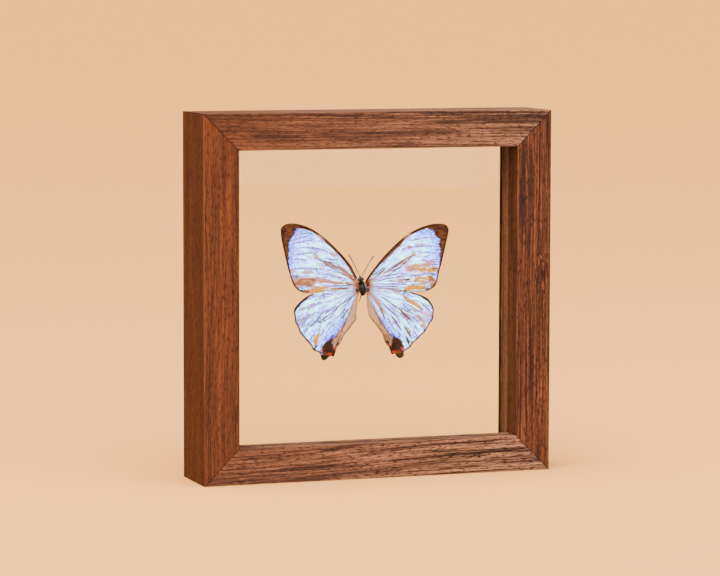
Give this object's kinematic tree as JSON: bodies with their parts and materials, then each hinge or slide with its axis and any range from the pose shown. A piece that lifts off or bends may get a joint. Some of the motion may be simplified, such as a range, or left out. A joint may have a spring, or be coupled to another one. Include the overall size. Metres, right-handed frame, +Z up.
{
  "type": "framed butterfly specimen",
  "caption": "Square mitred walnut frame standing on its bottom rail, with a spread pale-blue butterfly floating between clear front and back panes.",
  "frame": {"origin": "under the middle of the bottom rail, half way through the frame's depth", "axes": "+Z up the stiles, +X to the right seen from the front, +Y from the front pane to the back"},
  "size_m": [0.178, 0.035, 0.178],
  "materials": {
    "walnut": "oiled walnut, satin",
    "walnut_strip": "oiled walnut, duller",
    "clear_pane": "clear picture glass",
    "wing_membrane": "dry scaled wing, pearly pale blue with brown edges",
    "insect_body": "dry black body with fine hair",
    "antenna": "dry dark brown hair-like feeler",
    "clear_glue": "clear cured glue"
  },
  "bodies": {
    "root": {"bottom_rail": "walnut", "left_stile": "walnut", "top_rail": "walnut", "right_stile": "walnut", "spacer_bottom": "walnut_strip", "spacer_left": "walnut_strip", "spacer_top": "walnut_strip", "spacer_right": "walnut_strip", "retainer_bottom": "walnut_strip", "retainer_left": "walnut_strip", "retainer_top": "walnut_strip", "retainer_right": "walnut_strip", "front_glass": "clear_pane", "back_glass": "clear_pane", "left_forewing": "wing_membrane", "right_forewing": "wing_membrane", "left_hindwing": "wing_membrane", "right_hindwing": "wing_membrane", "body": "insect_body", "left_antenna": "antenna", "right_antenna": "antenna", "glue_pad": "clear_glue"}
  },
  "joints": []
}
